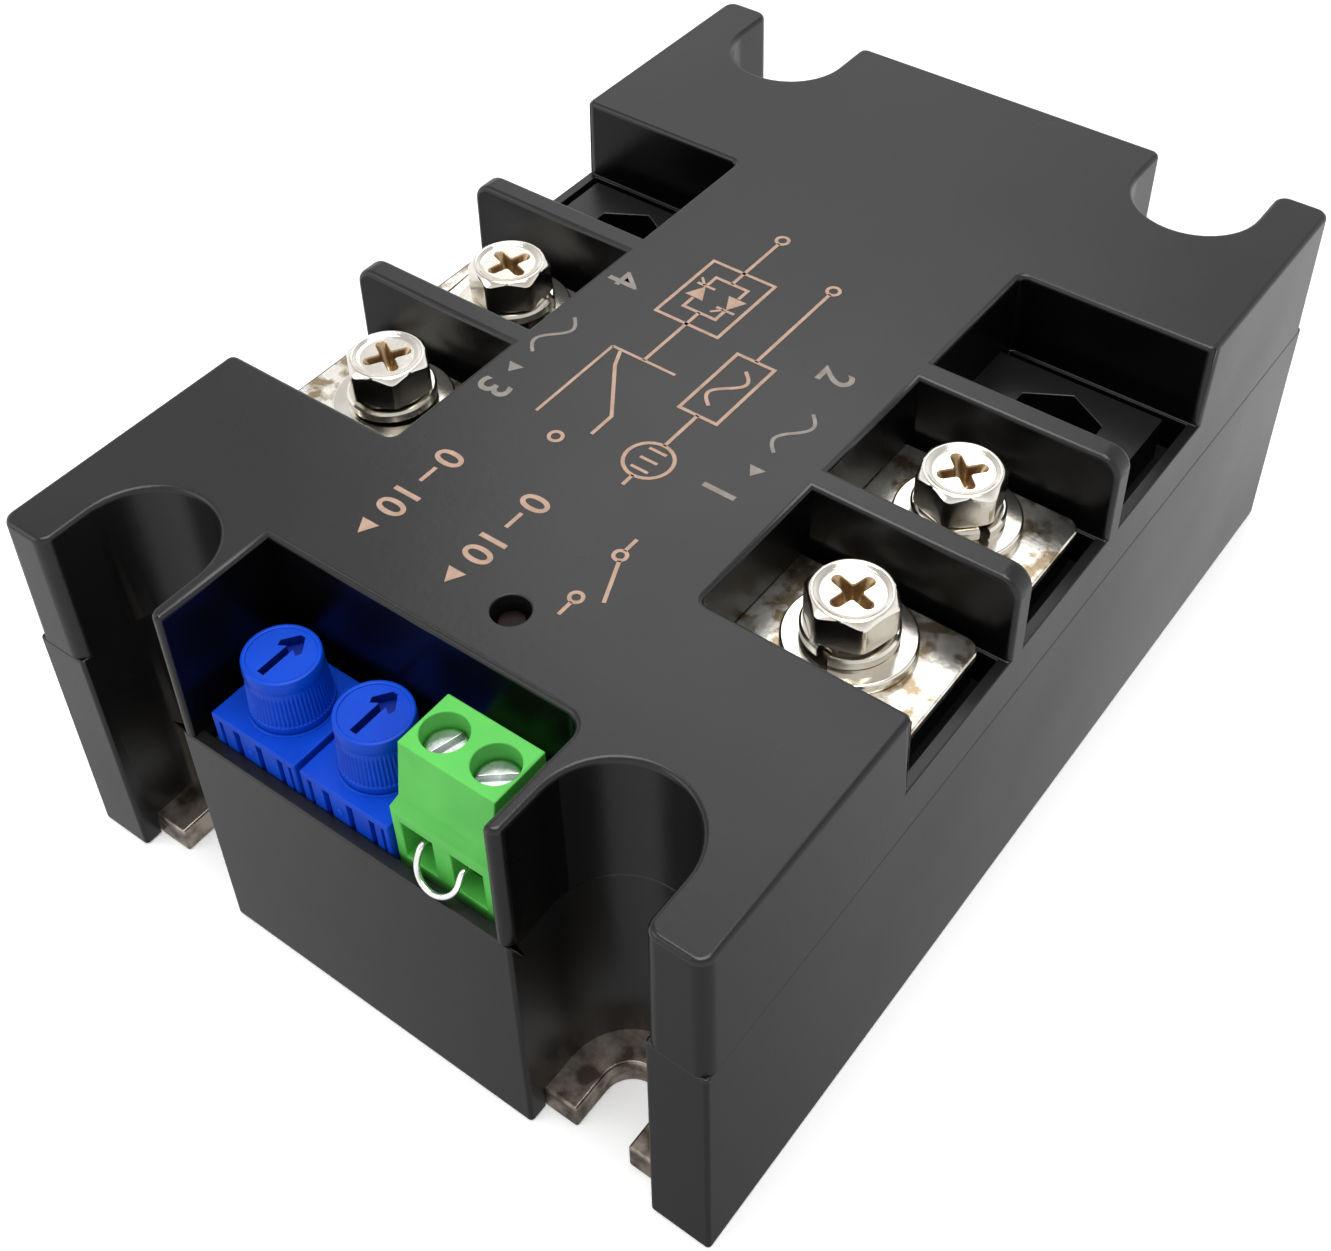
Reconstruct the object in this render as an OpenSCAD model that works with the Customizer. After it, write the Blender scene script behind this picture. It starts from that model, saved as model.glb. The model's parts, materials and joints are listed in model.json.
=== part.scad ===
// Single-phase solid state soft-start relay in a flat screw-terminal case.
// Origin: centre of the base plate's underside. +X points to the control end,
// +Y to the input terminals, +Z up. Millimetres.

/* [Case] */
// Length of the case, control end to far end
body_l = 105; // [104:0.5:106]
// Width of the case across the terminal sides
body_w = 73; // [72:0.5:74]
// Height of the case
body_h = 41; // [40.5:0.1:42]
// Height of the parting line between lower housing and cover
part_z = 26.6; // [26.2:0.1:26.8]
// Radius of the cover's upright corners
corner_r = 1.3; // [1:0.1:1.6]
// Radius of the corners between the cover's end faces and its notches
mouth_r = 0.9; // [0.6:0.1:1.2]
// Thickness of the outer walls
wall_t = 1.8; // [1.5:0.1:2]
// Thickness of the cover's top
top_t = 2; // [1.6:0.1:2.4]

/* [Mounting] */
// Radius of the four notches in the case
notch_r = 6.3; // [6:0.1:6.4]
// Distance between notch arc centres along the case
notch_dx = 93.6; // [93:0.1:94]
// Distance between notch centres across the case
notch_dy = 48.4; // [48:0.1:49]
// Thickness of the base plate
plate_t = 3; // [2.5:0.1:3.2]
// Distance from the case's outline to the base plate's edge
plate_inset = 2; // [1.8:0.1:2.2]
// Half-width of the base plate's slots
slot_r = 2.75; // [2.5:0.05:3]
// Distance between slot arc centres along the plate
slot_dx = 93; // [92:0.5:94]
// Distance between slot centres across the plate
slot_dy = 48; // [47:0.5:49]

/* [Terminals] */
// Distance between neighbouring terminal cells
cell_pitch = 17.1; // [17:0.05:17.2]
// Thickness of the ribs between cells
rib_t = 2.5; // [2:0.1:2.8]
// Distance from the case's centre line to a cell's inner wall
cell_y = 16.3; // [16:0.1:16.6]
// Height of the sill along a cell's open side
sill_z = 32; // [31:0.1:32.4]
// Height of the pedestal under a terminal bar
pedestal_z = 33; // [32.6:0.1:33.2]
// Distance from the centre line to a terminal screw
screw_y = 25; // [24.6:0.1:25.4]
// Width of a terminal bar
bar_w = 12.4; // [11:0.1:12.6]
// Thickness of a terminal bar
bar_t = 1; // [0.8:0.1:1.2]
// Width across flats of the terminal screws' nuts
hex_af = 8; // [7.6:0.1:8.2]
// Width across flats of the terminal screws' heads
head_af = 7.2; // [7:0.1:8]
// Radius of the terminal screws' thread
screw_r = 2.48; // [2.4:0.01:2.5]

/* [Control end] */
// Distance from the centre line to the control compartment's side walls
bay_y = 16.5; // [16.3:0.1:16.6]
// Distance from the case's centre to the compartment's back wall
bay_x = 40.2; // [40:0.1:40.6]
// Height of the control board's upper face
board_z = 25.1; // [25:0.1:25.2]
// Side of a trimmer's square body
trimmer_w = 9.53; // [9.4:0.01:9.6]
// Distance between trimmer and block centres across the compartment
control_pitch = 10.1; // [10:0.05:10.16]
// Distance from the case's centre to the trimmers' centres
trimmer_x = 46.1; // [46:0.1:46.3]
// Distance between the terminal block's two wires
block_pitch = 5.08; // [5:0.04:5.08]
// Height of the terminal block's top
block_z = 38.7; // [38.4:0.1:39]
// Radius of the wire link
link_r = 0.35; // [0.3:0.01:0.36]

/* [Hidden] */
$fn = 64;
eps = 0.01;
fit = 0.05;       // radial clearance of a turning shaft
gap = 0.02;       // clearance between faces that rest on each other
half_l = body_l / 2;
half_w = body_w / 2;
notch_x = notch_dx / 2;
notch_y = notch_dy / 2;
// case walls
foot_z = 0.1;                       // the base plate stands this far below the housing
lower_corner_r = 0.4;
ledge_z = plate_t + 3;              // top of the ledge that holds the base plate
chamber_x = notch_x - notch_r - wall_t;
chamber_y = half_w - wall_t;
end_wall_t = 1.3;
ledge_w = 1.6;
cell_wall_t = 1.6;
cell_end_x = 1.5 * cell_pitch;      // outer end of the row of three cells
cell_floor_z = part_z + 1.8;
cell_step = 0.35;                   // cell walls are this much thicker below sill height
sill_t = 1.1;
pedestal_w = 13;
pedestal_end_y = 33.2;
pocket_depth = 4.6;
rib_corner_r = 2;
bay_corner_r = 1.8;
lamp_x = 35;
lamp_y = 5;
lamp_hole_r = 1.65;
// terminal hardware, from the bar's upper face upwards
bar_z = pedestal_z + gap;
bar_top = bar_z + bar_t;
bar_end_y = 34;
bar_leg_y = 12.2;
bar_leg_w = 8;
flat_t = 1.1;
flat_r = 5.7;
spring_t = 1.6;
spring_r = 4.15;
spring_gap = 1.1;
flat_z = bar_top + gap;
spring_z = flat_z + flat_t + gap;
head_z = spring_z + spring_t + gap;
head_h = 3.5;
nut_t = 4;
nut_z = pedestal_z - nut_t - 0.1;
washer_bore_r = screw_r + 0.15;
terminal_x = [cell_pitch, 0];
screw_tip_z = nut_z - 0.1;
// control board
board_t = 1.6;
board_under = board_z - board_t;
board_screw_x = 36.2;
board_screw_y = 19;
pilot_r = 1;
trimmer_z = board_z + 0.1;
trimmer_h = 4.8;
trimmer_top = trimmer_z + trimmer_h;
trimmer_y = [-control_pitch, 0];
knob_top = trimmer_top + 6;
knob_z = trimmer_top + 0.15;
stem_r = 2.5;
block_y = control_pitch - 0.1;
block_w = 2 * block_pitch;
block_x = 45.8;                     // clamp screw axis
wire_y = [block_y - block_pitch / 2, block_y + block_pitch / 2];
entry_w = 3.2;
entry_low = board_z + 1.5;
entry_high = 31;
chamber_low = board_z + 0.9;
head_seat_z = 36.1;
cage_z = 28;
cage_h = 7;
cage_w = 3.1;
cage_l = 4.4;
cage_floor_t = 1.43;
cage_top_t = 2;
clamp_r = 1.5;
wire_z = cage_z + cage_floor_t + gap + link_r;
contact_z = wire_z + link_r + gap;
contact_t = 0.8;
pin_x = 42.8;
link_half = 2.1;                    // half the distance between the link's legs
link_bend_r = 0.8;
link_fall = 60;                     // the loop hangs this far below level, degrees
link_slant = 0.5;
substrate_t = 0.8;
pad_t = 0.3;
chip_t = 0.5;
pad_z = plate_t + substrate_t;
chip_z = pad_z + pad_t;

// box from its lowest corner to its highest
module box(low, high) {
  translate(low) cube(high - low);
}

// repeats its children on the input side and, mirrored, on the output side
module both_sides() {
  for (y = [0, 1]) mirror([0, y, 0]) children();
}

// flat rectangle with rounded corners
module rounded_rectangle(l, w, r) {
  square([l - 2 * r, w], center = true);
  square([l, w - 2 * r], center = true);
  for (x = [-1, 1], y = [-1, 1])
    translate([x * (l / 2 - r), y * (w / 2 - r)]) circle(r);
}

// case seen from above: a tongue and two prongs at each end, with round notches between
module case_outline(prong_r, tongue_r) {
  prong_w = half_w - notch_y - notch_r;
  difference() {
    union() {
      rounded_rectangle(body_l, 2 * (notch_y - notch_r), tongue_r);
      both_sides() translate([0, half_w - prong_w / 2]) rounded_rectangle(body_l, prong_w, prong_r);
      square([notch_dx, body_w], center = true);
    }
    both_sides() for (x = [-notch_x, notch_x]) translate([x, notch_y]) circle(notch_r);
  }
}

// hexagonal prism with two corners on the X axis
module hexagon(af, h) {
  cylinder(d = af / cos(30), h = h, $fn = 6);
}

module base_plate() {
  color("silver") difference() {
    linear_extrude(plate_t)
      rounded_rectangle(body_l - 2 * plate_inset, body_w - 2 * plate_inset, 1);
    // slots, open to the ends
    both_sides() for (s = [0, 1]) mirror([s, 0, 0]) translate([slot_dx / 2, slot_dy / 2, -1]) {
      cylinder(r = slot_r, h = plate_t + 2);
      translate([0, -slot_r, 0]) cube([half_l, 2 * slot_r, plate_t + 2]);
    }
  }
}

// inside of the lower housing: chamber between the notches, tongues at both ends
module housing_cavity(inset, low, high) {
  box([-chamber_x, -chamber_y + inset, low], [chamber_x, chamber_y - inset, high]);
  box([-half_l + end_wall_t + inset, -bay_y, low], [half_l - end_wall_t - inset, bay_y, high]);
}

module lower_housing() {
  recess_x = half_l - plate_inset + 0.15;
  recess_y = half_w - plate_inset + 0.15;
  color("dimgray") difference() {
    union() {
      difference() {
        translate([0, 0, foot_z]) linear_extrude(part_z - foot_z)
          case_outline(lower_corner_r, lower_corner_r);
        box([-recess_x, -recess_y, -1], [recess_x, recess_y, plate_t]);
        housing_cavity(ledge_w, plate_t - eps, ledge_z + eps);
        housing_cavity(0, ledge_z, part_z + 1);
      }
      for (x = [-1, 1], y = [-1, 1])
        translate([x * board_screw_x, y * board_screw_y, plate_t + gap])
          cylinder(r = 2.8, h = board_under - plate_t - 2 * gap);
    }
    for (x = [-1, 1], y = [-1, 1])
      translate([x * board_screw_x, y * board_screw_y, board_under - 8])
        cylinder(r = pilot_r, h = 9);
  }
}

// room of one cell: open outwards above the sill, a little narrower below it
module cell_cut(x) {
  low_x = x < 0 ? -cell_end_x : x - (cell_pitch - rib_t) / 2;
  high_x = x > 0 ? cell_end_x : x + (cell_pitch - rib_t) / 2;
  box([low_x, cell_y, sill_z], [high_x, half_w + 1, body_h + 1]);
  box([low_x + cell_step, cell_y, cell_floor_z], [high_x - cell_step, half_w - sill_t, sill_z + eps]);
}

module pedestal(x) {
  box([x - pedestal_w / 2, cell_y - eps, cell_floor_z - eps],
    [x + pedestal_w / 2, pedestal_end_y, pedestal_z]);
}

// takes a rib's outer top corner down to a quarter round
module rib_corner_cut(x) {
  r = rib_corner_r;
  translate([x - rib_t / 2 - eps, half_w - r, body_h - r])
    difference() {
      cube([rib_t + 2 * eps, r + 1, r + 1]);
      rotate([0, 90, 0]) translate([0, 0, -1]) cylinder(r = r, h = rib_t + 3);
    }
}

module control_bay_cut() {
  r = bay_corner_r;
  low = board_z + 0.4;
  box([bay_x, -bay_y, low], [half_l + 1, bay_y - r, body_h + 1]);
  box([bay_x + r, -bay_y, low], [half_l + 1, bay_y, body_h + 1]);
  translate([bay_x + r, bay_y - r, low]) cylinder(r = r, h = body_h + 1 - low);
}

module top_cover() {
  bar_slot_w = bar_w + 0.4;
  ceiling_z = body_h - top_t;
  middle_y = cell_y - cell_wall_t;
  side_room_x = cell_end_x + wall_t;
  lip_depth = 2;
  color("dimgray") difference() {
    union() {
      difference() {
        translate([0, 0, part_z + gap]) linear_extrude(body_h - part_z - gap)
          case_outline(corner_r, mouth_r);
        both_sides() for (i = [-1, 0, 1]) cell_cut(i * cell_pitch);
        both_sides() for (i = [-0.5, 0.5]) rib_corner_cut(i * cell_pitch);
        // hollow over the board, and rooms between the cells and the notches
        box([-half_l + wall_t, -middle_y, 0], [bay_x - cell_wall_t, middle_y, ceiling_z]);
        for (s = [0, 1]) mirror([s, 0, 0])
          box([side_room_x, -chamber_y, 0], [chamber_x, chamber_y, ceiling_z]);
      }
      both_sides() for (i = [-1, 0, 1]) pedestal(i * cell_pitch);
      // back wall of the control bay reaches down to the board
      box([bay_x - cell_wall_t, -middle_y, board_z + 0.4], [bay_x, middle_y, part_z + 1]);
      // lips that locate the cover inside the lower housing
      both_sides() box([-cell_end_x, chamber_y - wall_t, part_z - lip_depth],
        [cell_end_x, chamber_y - 0.1, cell_floor_z - eps]);
    }
    control_bay_cut();
    both_sides() {
      for (x = terminal_x)
        box([x - bar_slot_w / 2, middle_y - 1, pedestal_z],
          [x + bar_slot_w / 2, cell_y + 1, bar_top + 0.2]);
      for (i = [-1, 0, 1]) translate([i * cell_pitch, screw_y, pedestal_z - pocket_depth])
        hexagon(hex_af + 0.2, pocket_depth + 1);
    }
    translate([lamp_x, lamp_y, ceiling_z - 1]) cylinder(r = lamp_hole_r, h = top_t + 2);
  }
}

module ceramic_substrate() {
  color("white") translate([cell_pitch / 2, 0, 0])
    box([-20, -17, plate_t], [20, 17, plate_t + substrate_t]);
}

module copper_pads() {
  color("peru") for (x = terminal_x) translate([x, 0, 0]) {
    box([-6.5, -8, pad_z], [6.5, 8, pad_z + pad_t]);
    both_sides() box([-5, 11, pad_z], [5, 16.6, pad_z + pad_t]);
  }
}

module thyristor_chips() {
  color("slategray") for (x = terminal_x) translate([x, 0, 0])
    box([-5, -5, chip_z], [5, 5, chip_z + chip_t]);
}

module gate_pins() {
  color("gold") for (x = terminal_x, y = [-3, 3])
    translate([x, y, chip_z + chip_t]) cylinder(r = 0.4, h = board_under - chip_z - chip_t);
}

// strip from the screw terminal through the cell wall and down to its copper pad
module terminal_bar(x, side) {
  r = 1.5;
  color("gainsboro") mirror([0, side < 0 ? 1 : 0, 0]) translate([x, 0, 0]) {
    difference() {
      translate([0, 0, bar_z]) linear_extrude(bar_t) {
        translate([-bar_w / 2, bar_leg_y]) square([bar_w, bar_end_y - r - bar_leg_y]);
        translate([-bar_w / 2 + r, bar_leg_y]) square([bar_w - 2 * r, bar_end_y - bar_leg_y]);
        for (s = [-1, 1]) translate([s * (bar_w / 2 - r), bar_end_y - r]) circle(r);
      }
      translate([0, screw_y, bar_z - 1]) cylinder(r = screw_r + 0.3, h = bar_t + 2);
    }
    box([-bar_leg_w / 2, bar_leg_y, chip_z], [bar_leg_w / 2, bar_leg_y + bar_t, bar_z + eps]);
    box([-bar_leg_w / 2, bar_leg_y, chip_z], [bar_leg_w / 2, bar_leg_y + 4, chip_z + bar_t]);
  }
}

module terminal_nuts() {
  color("silver") for (x = terminal_x, side = [-1, 1])
    translate([x, side * screw_y, nut_z]) difference() {
      hexagon(hex_af, nut_t);
      translate([0, 0, -1]) cylinder(r = screw_r + fit, h = nut_t + 2);
    }
}

module flat_washer(x, side) {
  color("gainsboro") translate([x, side * screw_y, flat_z]) difference() {
    cylinder(r = flat_r, h = flat_t);
    translate([0, 0, -1]) cylinder(r = washer_bore_r, h = flat_t + 2);
  }
}

module spring_washer(x, side) {
  color("gainsboro") translate([x, side * screw_y, spring_z]) difference() {
    cylinder(r = spring_r, h = spring_t);
    translate([0, 0, -1]) cylinder(r = washer_bore_r, h = spring_t + 2);
    rotate([0, 0, 20]) translate([0, -spring_gap / 2, -1])
      cube([spring_r + 1, spring_gap, spring_t + 2]);
  }
}

// hexagon head with rounded rim and cross recess, on a plain shank
module terminal_screw(x, side) {
  rim_r = head_af / 2;
  chamfer = 0.45;
  color("gainsboro") translate([x, side * screw_y, 0]) {
    difference() {
      intersection() {
        translate([0, 0, head_z]) hexagon(head_af, head_h);
        union() {
          translate([0, 0, head_z]) cylinder(r1 = rim_r, r2 = rim_r + chamfer, h = chamfer);
          translate([0, 0, head_z + chamfer - eps])
            cylinder(r = rim_r + chamfer, h = head_h - 2 * chamfer + 2 * eps);
          translate([0, 0, head_z + head_h - chamfer])
            cylinder(r1 = rim_r + chamfer, r2 = rim_r - 0.2, h = chamfer);
        }
      }
      translate([0, 0, head_z + head_h - 0.25]) cylinder(r = rim_r - 0.8, h = 1);
      for (a = [0, 90]) rotate([0, 0, a + 25])
        translate([-2.1, -0.45, head_z + head_h - 1.9]) cube([4.2, 0.9, 3]);
      translate([0, 0, head_z + head_h - 2.2]) cylinder(r = 0.95, h = 3);
    }
    translate([0, 0, screw_tip_z]) cylinder(r = screw_r, h = head_z - screw_tip_z + eps);
  }
}

// board outline: wide where it is screwed down, narrow between the terminal bars
module control_board() {
  wide_y = 21.5;
  narrow_y = 11;
  waist_x = 28;
  end_x = chamber_x - 0.3;
  color("darkgreen") difference() {
    union() {
      for (s = [-1, 1]) mirror([s < 0 ? 1 : 0, 0, 0])
        box([waist_x, -wide_y, board_under], [end_x, wide_y, board_z]);
      box([-waist_x - 1, -narrow_y, board_under], [waist_x + 1, narrow_y, board_z]);
      box([waist_x, -bay_y + 0.3, board_under], [half_l - end_wall_t - 0.3, bay_y - 0.3, board_z]);
    }
    for (x = [-1, 1], y = [-1, 1])
      translate([x * board_screw_x, y * board_screw_y, 0]) cylinder(r = 1.3, h = body_h);
    for (p = trimmer_pin_places()) translate([p[0], p[1], 0]) cylinder(r = 0.45, h = body_h);
    for (y = wire_y) translate([pin_x, y, 0]) cylinder(r = 0.8, h = body_h);
  }
}

function trimmer_pin_places() =
  [for (y = trimmer_y, p = [[-2.54, 0], [2.54, 2.54], [2.54, -2.54]]) [trimmer_x + p[0], y + p[1]]];

module board_screws() {
  color("silver") for (x = [-1, 1], y = [-1, 1])
    translate([x * board_screw_x, y * board_screw_y, board_z + gap]) {
      difference() {
        cylinder(r = 2, h = 1.4);
        translate([-1.5, -0.25, 0.8]) cube([3, 0.5, 1]);
      }
      translate([0, 0, -7]) cylinder(r = pilot_r - gap, h = 7 + eps);
    }
}

module trimmer_body(y) {
  half = trimmer_w / 2;
  color("royalblue") translate([trimmer_x, y, trimmer_z]) difference() {
    box([-half, -half, 0], [half, half, trimmer_h]);
    translate([0, 0, 1.5]) cylinder(r = stem_r + fit, h = trimmer_h);
    // grooves in the front face
    for (g = [-1, 0, 1]) translate([half - 0.5, g * 2.4 - 0.5, -1]) cube([1, 1, trimmer_h - 0.2]);
    // room for the pins' shoulders underneath
    box([-half + 1, -half + 1, -1], [half - 1, half - 1, 0.4]);
  }
}

// fluted knob with an arrow slot; the arrow points away from the control end
module trimmer_knob(y) {
  top_r = 3.25;
  base_r = 3.6;
  band_h = 1.2;
  flutes = 36;
  color("dodgerblue") translate([trimmer_x, y, 0]) {
    difference() {
      union() {
        translate([0, 0, knob_z]) cylinder(r1 = base_r, r2 = top_r + 0.1, h = knob_top - knob_z - band_h);
        translate([0, 0, knob_top - band_h - eps]) cylinder(r = top_r, h = band_h + eps);
      }
      for (i = [0 : flutes - 1]) rotate([0, 0, i * 360 / flutes])
        translate([base_r, 0, knob_z - 1]) rotate([0, -3, 0])
          cylinder(r = 0.15, h = knob_top - knob_z - band_h + 0.4, $fn = 16);
      translate([-2.3, -0.35, knob_top - 0.6]) cube([4.6, 0.7, 1]);
      for (s = [-1, 1]) translate([-2.3, 0, knob_top - 0.6]) rotate([0, 0, s * 40])
        translate([0, -0.3, 0]) cube([1.9, 0.6, 1]);
    }
    translate([0, 0, trimmer_top - 2.8]) cylinder(r = stem_r, h = knob_z - trimmer_top + 2.8 + eps);
  }
}

module trimmer_pins() {
  color("silver") for (p = trimmer_pin_places())
    translate([p[0], p[1], board_under - 1]) cylinder(r = 0.35, h = trimmer_z - board_under + 1.4);
}

// housing of the two-way block: sloped front, lip over the wire entries
module block_housing() {
  back_x = 41;
  top_back_x = 42.8;
  top_front_x = 48.6;
  brow_x = 50.2;
  brow_z = 33.8;
  front_x = 50.9;
  lip_z = 32.5;
  color("limegreen") translate([0, block_y, 0]) difference() {
    translate([0, block_w / 2, 0]) rotate([90, 0, 0]) linear_extrude(block_w)
      polygon([[back_x, board_z], [front_x, board_z], [front_x, lip_z], [brow_x, brow_z],
        [top_front_x, block_z], [top_back_x, block_z], [top_back_x, brow_z], [back_x, lip_z]]);
    for (s = [-1, 1]) translate([block_x, s * block_pitch / 2, 0]) {
      translate([0, 0, head_seat_z]) cylinder(r = 1.95, h = body_h);
      translate([0, 0, chamber_low]) cylinder(r = clamp_r + 0.2, h = body_h);
      box([pin_x - block_x - 0.6, -entry_w / 2, chamber_low],
        [cage_l / 2 + 0.3, entry_w / 2, head_seat_z - 0.8]);
      box([0, -entry_w / 2, entry_low], [half_l - block_x, entry_w / 2, entry_high]);
      translate([pin_x - block_x, 0, 0]) cylinder(r = 0.75, h = entry_low);
    }
  }
}

module clamp_screw(y) {
  head_t = 1.3;
  thread_low = cage_z + cage_h - cage_top_t + 0.05;
  dog_low = contact_z + contact_t + 0.2;
  dog_r = 0.95;
  color("silver") translate([block_x, y, head_seat_z + gap]) {
    difference() {
      cylinder(r = 1.85, h = head_t);
      rotate([0, 0, y < block_y ? -15 : -50]) translate([-2.5, -0.3, head_t - 0.7]) cube([5, 0.6, 2]);
    }
    translate([0, 0, thread_low - head_seat_z])
      cylinder(r = clamp_r, h = head_seat_z - thread_low + eps);
    translate([0, 0, dog_low - head_seat_z])
      cylinder(r = dog_r, h = thread_low - dog_low + eps);
  }
}

// rising cage: the wire enters along X and is clamped against the contact above it
module clamp_cage(y) {
  wall = 0.5;
  color("silver") translate([block_x, y, cage_z]) difference() {
    box([-cage_l / 2, -cage_w / 2, 0], [cage_l / 2, cage_w / 2, cage_h]);
    box([-cage_l, -cage_w / 2 + wall, cage_floor_t], [cage_l, cage_w / 2 - wall,
      cage_h - cage_top_t]);
    translate([0, 0, cage_h - cage_top_t - 1]) cylinder(r = clamp_r + fit, h = cage_top_t + 2);
  }
}

module contact_pins() {
  color("silver") for (y = wire_y) translate([0, y, 0]) {
    box([pin_x - 0.4, -0.9, contact_z], [block_x + cage_l / 2, 0.9, contact_z + contact_t]);
    box([pin_x - 0.4, -0.5, board_under - 1], [pin_x + 0.4, 0.5, contact_z + eps]);
  }
}

// bare wire loop that joins the two wire entries and hangs over the front wall
module wire_link() {
  leg_x = 50;
  color("silver") translate([leg_x, block_y, wire_z]) {
    for (s = [-1, 1]) translate([0, s * link_half, 0]) {
      translate([block_x - cage_l / 2 + 0.4 - leg_x, 0, 0]) rotate([0, 90, 0])
        cylinder(r = link_r, h = leg_x - block_x + cage_l / 2 - 0.4);
      translate([0, 0, -link_bend_r]) rotate([90, 0, 0]) rotate([0, 0, 90 - link_fall])
        rotate_extrude(angle = link_fall) translate([link_bend_r, 0]) circle(link_r);
    }
    translate([link_bend_r * sin(link_fall), 0, -link_bend_r * (1 - cos(link_fall))])
      rotate([0, link_fall, 0]) {
        for (s = [-1, 1]) translate([0, s * link_half, 0]) rotate([0, 90, 0])
          cylinder(r = link_r, h = link_slant);
        translate([link_slant, 0, 0]) rotate([0, 0, -90]) rotate_extrude(angle = 180)
          translate([link_half, 0]) circle(link_r);
      }
  }
}

// moulded part that stands on the board
module on_board(place, size, colour) {
  color(colour) translate([place[0], place[1], board_z])
    translate([-size[0] / 2, -size[1] / 2, 0]) cube(size);
}

module microcontroller() { on_board([33, -9], [7, 10, 1.8], "black"); }
module optocoupler() { on_board([-9, -5], [7, 6.5, 3.5], "black"); }
module rectifier_bridge() { on_board([-24, -5], [8, 6.5, 3.2], "black"); }
module snubber_capacitor() { on_board([5, 5.5], [13, 6, 11], "goldenrod"); }

module filter_capacitor() {
  color("navy") translate([-24, 5, board_z]) cylinder(r = 4, h = 11.5);
}

module snubber_resistor() {
  color("tan") translate([-1, -5, board_z + 2.1]) rotate([0, 90, 0]) cylinder(r = 2.1, h = 11);
}

module varistor() {
  color("teal") translate([-13, 3.5, board_z + 5.2]) rotate([90, 0, 0])
    translate([0, 0, -2]) cylinder(r = 5, h = 4);
}

module indicator_lamp() {
  stand_h = 10;
  lens_r = 1.5;
  lens_h = 4.2;
  color("darkred") translate([lamp_x, lamp_y, board_z]) {
    cylinder(r = lens_r + 0.4, h = stand_h);
    translate([0, 0, stand_h - eps]) cylinder(r = lens_r, h = lens_h);
    translate([0, 0, stand_h + lens_h - 2 * eps]) cylinder(r1 = lens_r, r2 = 1.1, h = 0.4);
  }
}

base_plate();
lower_housing();
top_cover();
ceramic_substrate();
copper_pads();
thyristor_chips();
gate_pins();
terminal_bar(terminal_x[0], 1);  // input_terminal_1
terminal_bar(terminal_x[1], 1);  // input_terminal_2
terminal_bar(terminal_x[0], -1);  // output_terminal_1
terminal_bar(terminal_x[1], -1);  // output_terminal_2
terminal_nuts();
flat_washer(terminal_x[0], 1);  // input_flat_washer_1
flat_washer(terminal_x[1], 1);  // input_flat_washer_2
flat_washer(terminal_x[0], -1);  // output_flat_washer_1
flat_washer(terminal_x[1], -1);  // output_flat_washer_2
spring_washer(terminal_x[0], 1);  // input_spring_washer_1
spring_washer(terminal_x[1], 1);  // input_spring_washer_2
spring_washer(terminal_x[0], -1);  // output_spring_washer_1
spring_washer(terminal_x[1], -1);  // output_spring_washer_2
terminal_screw(terminal_x[0], 1);  // input_screw_1
terminal_screw(terminal_x[1], 1);  // input_screw_2
terminal_screw(terminal_x[0], -1);  // output_screw_1
terminal_screw(terminal_x[1], -1);  // output_screw_2
control_board();
board_screws();
trimmer_body(trimmer_y[0]);  // trimmer_body_1
trimmer_body(trimmer_y[1]);  // trimmer_body_2
trimmer_knob(trimmer_y[0]);  // trimmer_knob_1
trimmer_knob(trimmer_y[1]);  // trimmer_knob_2
trimmer_pins();
block_housing();
clamp_screw(wire_y[0]);  // clamp_screw_1
clamp_screw(wire_y[1]);  // clamp_screw_2
clamp_cage(wire_y[0]);  // clamp_cage_1
clamp_cage(wire_y[1]);  // clamp_cage_2
contact_pins();
wire_link();
microcontroller();
optocoupler();
rectifier_bridge();
filter_capacitor();
snubber_capacitor();
snubber_resistor();
varistor();
indicator_lamp();
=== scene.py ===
"""Looks of a soft-start relay in a flat screw-terminal case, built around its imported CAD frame.

Shapes are made in millimetres in the CAD frame: +X points to the control end, +Y to the input
terminals, +Z up. piece() turns them into objects in metres.
"""

import json
import math

import bmesh
import bpy
from mathutils import Matrix, Vector


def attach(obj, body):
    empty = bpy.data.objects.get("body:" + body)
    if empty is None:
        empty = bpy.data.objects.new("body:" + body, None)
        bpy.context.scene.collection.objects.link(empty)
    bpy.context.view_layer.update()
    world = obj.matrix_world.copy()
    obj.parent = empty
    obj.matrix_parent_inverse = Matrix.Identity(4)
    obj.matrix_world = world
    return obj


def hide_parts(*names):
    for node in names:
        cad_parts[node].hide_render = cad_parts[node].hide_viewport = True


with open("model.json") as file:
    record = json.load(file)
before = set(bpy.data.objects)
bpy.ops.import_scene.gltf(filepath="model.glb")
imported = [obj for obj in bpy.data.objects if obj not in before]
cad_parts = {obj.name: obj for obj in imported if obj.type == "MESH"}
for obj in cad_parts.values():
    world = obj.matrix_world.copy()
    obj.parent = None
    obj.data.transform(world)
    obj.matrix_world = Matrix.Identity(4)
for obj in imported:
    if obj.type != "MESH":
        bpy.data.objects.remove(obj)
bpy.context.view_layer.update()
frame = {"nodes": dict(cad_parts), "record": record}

MM = 0.001
SMOOTH_ANGLE = math.radians(38)
SHARP_ANGLE = math.radians(32)

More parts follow.
